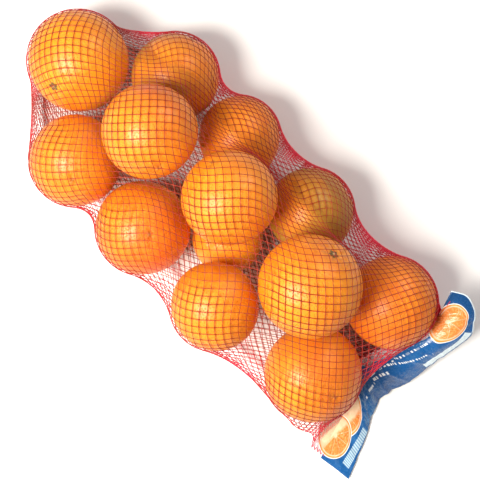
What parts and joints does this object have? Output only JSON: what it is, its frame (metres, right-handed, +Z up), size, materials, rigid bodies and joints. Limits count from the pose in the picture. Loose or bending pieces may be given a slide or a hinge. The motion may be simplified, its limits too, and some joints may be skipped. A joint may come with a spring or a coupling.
{
  "type": "mesh produce bag",
  "caption": "Net bag of oranges lying on its side, closed by a clip at one end and by a printed film header at the other; the header folds and the fruit turns in the net.",
  "frame": {"origin": "centre of the base rectangle under the whole bag, on the surface it lies on", "axes": "+X along the bag from the clipped end to the film header, +Y across the bag, +Z up from the surface it lies on"},
  "size_m": [0.452, 0.1867, 0.134],
  "materials": {
    "net": "satin",
    "clip": "satin",
    "printed_film": "gloss",
    "clear_film": "gloss",
    "peel": "satin",
    "stem": "matte"
  },
  "bodies": {
    "bag": {"net_sleeve": "net", "net_tail": "net", "end_clip": "clip"},
    "header": {"header_front_film": "printed_film", "header_back_film": "clear_film", "sealed_net_edge": "net"},
    "orange_1": {"orange_1": "peel", "stem_button_1": "stem"},
    "orange_2": {"orange_2": "peel", "stem_button_2": "stem"},
    "orange_3": {"orange_3": "peel", "stem_button_3": "stem"},
    "orange_4": {"orange_4": "peel", "stem_button_4": "stem"},
    "orange_5": {"orange_5": "peel", "stem_button_5": "stem"},
    "orange_6": {"orange_6": "peel", "stem_button_6": "stem"},
    "orange_7": {"orange_7": "peel", "stem_button_7": "stem"},
    "orange_8": {"orange_8": "peel", "stem_button_8": "stem"},
    "orange_9": {"orange_9": "peel", "stem_button_9": "stem"},
    "orange_10": {"orange_10": "peel", "stem_button_10": "stem"},
    "orange_11": {"orange_11": "peel", "stem_button_11": "stem"},
    "orange_12": {"orange_12": "peel", "stem_button_12": "stem"},
    "orange_13": {"orange_13": "peel", "stem_button_13": "stem"}
  },
  "joints": [
    {"name": "header_fold", "type": "hinge", "parent": "bag", "child": "header", "pos_m": [0.1865, 0, 0.02], "axis": [0, -1, 0], "range_deg": [0, 60]},
    {"name": "orange_1_turn", "type": "hinge", "parent": "bag", "child": "orange_1", "pos_m": [-0.182, 0.008, 0.0437], "axis": [0.133, -0.7544, 0.6428], "continuous": true},
    {"name": "orange_2_turn", "type": "hinge", "parent": "bag", "child": "orange_2", "pos_m": [-0.118, 0.055, 0.0387], "axis": [-0.3368, 0.9254, 0.1736], "continuous": true},
    {"name": "orange_3_turn", "type": "hinge", "parent": "bag", "child": "orange_3", "pos_m": [-0.095, 0.008, 0.09243], "axis": [-0.75, 0.433, -0.5], "continuous": true},
    {"name": "orange_4_turn", "type": "hinge", "parent": "bag", "child": "orange_4", "pos_m": [-0.127, -0.051, 0.0402], "axis": [-0.383, 0.3214, -0.866], "continuous": true},
    {"name": "orange_5_turn", "type": "hinge", "parent": "bag", "child": "orange_5", "pos_m": [-0.049, -0.051, 0.0412], "axis": [-0.2549, -0.0449, -0.9659], "continuous": true},
    {"name": "orange_6_turn", "type": "hinge", "parent": "bag", "child": "orange_6", "pos_m": [-0.015, 0.015, 0.09338], "axis": [0.7698, -0.2802, -0.5736], "continuous": true},
    {"name": "orange_7_turn", "type": "hinge", "parent": "bag", "child": "orange_7", "pos_m": [-0.046, 0.057, 0.0367], "axis": [0.4698, 0.8138, -0.342], "continuous": true},
    {"name": "orange_8_turn", "type": "hinge", "parent": "bag", "child": "orange_8", "pos_m": [0.038, 0.055, 0.0387], "axis": [0.2578, 0.9623, 0.0872], "continuous": true},
    {"name": "orange_9_turn", "type": "hinge", "parent": "bag", "child": "orange_9", "pos_m": [0.078, 0.011, 0.08995], "axis": [-0.166, 0.7812, 0.6018], "continuous": true},
    {"name": "orange_10_turn", "type": "hinge", "parent": "bag", "child": "orange_10", "pos_m": [0.037, -0.053, 0.06968], "axis": [-0.1677, -0.9513, -0.2588], "continuous": true},
    {"name": "orange_11_turn", "type": "hinge", "parent": "bag", "child": "orange_11", "pos_m": [0.137, 0.049, 0.0407], "axis": [0.6634, 0.5567, -0.5], "continuous": true},
    {"name": "orange_12_turn", "type": "hinge", "parent": "bag", "child": "orange_12", "pos_m": [0.133, -0.037, 0.0427], "axis": [-0.5735, -0.01, -0.8192], "continuous": true},
    {"name": "orange_13_turn", "type": "hinge", "parent": "bag", "child": "orange_13", "pos_m": [0.0055, -0.008, 0.0322], "axis": [0.25, 0.433, -0.866], "continuous": true}
  ]
}
